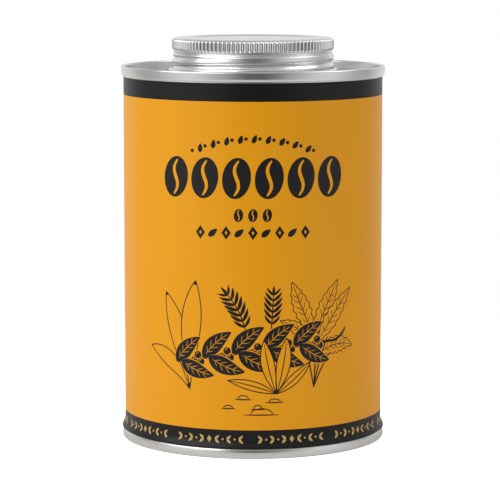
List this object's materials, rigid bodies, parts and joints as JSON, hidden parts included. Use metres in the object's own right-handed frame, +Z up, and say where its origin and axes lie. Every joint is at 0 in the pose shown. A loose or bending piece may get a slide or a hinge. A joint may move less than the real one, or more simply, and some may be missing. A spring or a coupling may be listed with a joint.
{
  "type": "screw-top coffee tin",
  "caption": "Round tinplate coffee tin with double-seamed ends, a wrap label in amber and black, and a knurled screw cap on a threaded neck.",
  "frame": {"origin": "where the tin's axis meets the surface it stands on", "axes": "+Z up along the tin's axis, out through the cap; -Y faces the front of the label; the label's overlap and the body's side seam are on +Y"},
  "size_m": [0.0878, 0.0878, 0.1333],
  "materials": {
    "tinplate": "bright tinplate with a soft sheen",
    "cap_steel": "bright pressed tinplate",
    "compound": "dull sealing compound",
    "label": "amber print with black bands, satin",
    "board": "uncoated pulp board",
    "film": "smooth white facing"
  },
  "bodies": {
    "tin": {"body_shell": "tinplate", "bottom_end": "tinplate", "top_end": "tinplate", "neck_ring": "tinplate", "neck_compound": "compound", "top_seam_compound": "compound", "bottom_seam_compound": "compound", "label_wrap": "label"},
    "liner": {"liner_board": "board", "liner_film": "film"},
    "cap": {"cap_shell": "cap_steel"}
  },
  "joints": [
    {"name": "cap_rise", "type": "slide", "parent": "tin", "child": "liner", "axis": [0, 0, 1], "range_m": [0, 0.0131]},
    {"name": "cap_turn", "type": "hinge", "parent": "liner", "child": "cap", "pos_m": [0, 0, 0.1275], "axis": [0, 0, 1], "range_deg": [0, 1620]}
  ],
  "couplings": [
    {"joint": "cap_rise", "follows": "cap_turn", "m_per_rad": 0.00046155}
  ]
}
